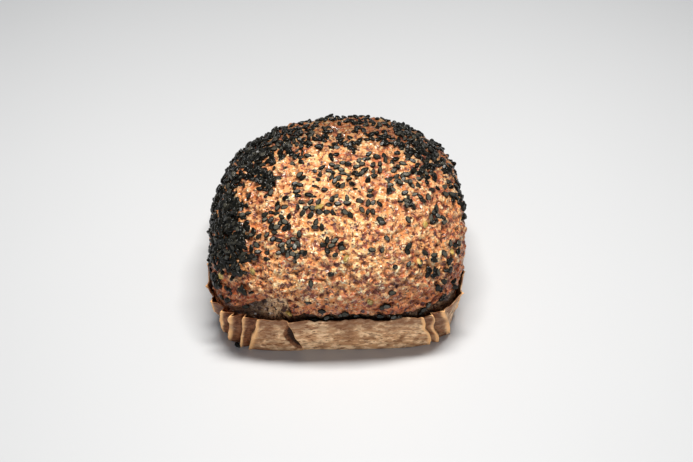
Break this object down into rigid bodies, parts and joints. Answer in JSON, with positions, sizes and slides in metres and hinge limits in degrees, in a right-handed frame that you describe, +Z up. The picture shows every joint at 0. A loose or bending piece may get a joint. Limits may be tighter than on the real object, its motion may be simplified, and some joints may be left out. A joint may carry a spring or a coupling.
{
  "type": "bread roll",
  "caption": "Square dark wholegrain bread roll strewn with black sesame, in its pleated baking-paper case.",
  "frame": {"origin": "middle of the underside of the whole, on the surface the case stands on", "axes": "+X to the right as the picture shows it, -Y towards the viewer, +Z up"},
  "size_m": [0.1014, 0.0968, 0.0611],
  "materials": {
    "crust": "rough, glossy in spots, mottled tan and brown",
    "paper": "greasy translucent baking paper, satin",
    "sesame": "satin black seed coat",
    "grain": "dull yellow-olive grain"
  },
  "bodies": {
    "root": {"bread_roll": "crust", "paper_case": "paper"}
  },
  "joints": []
}
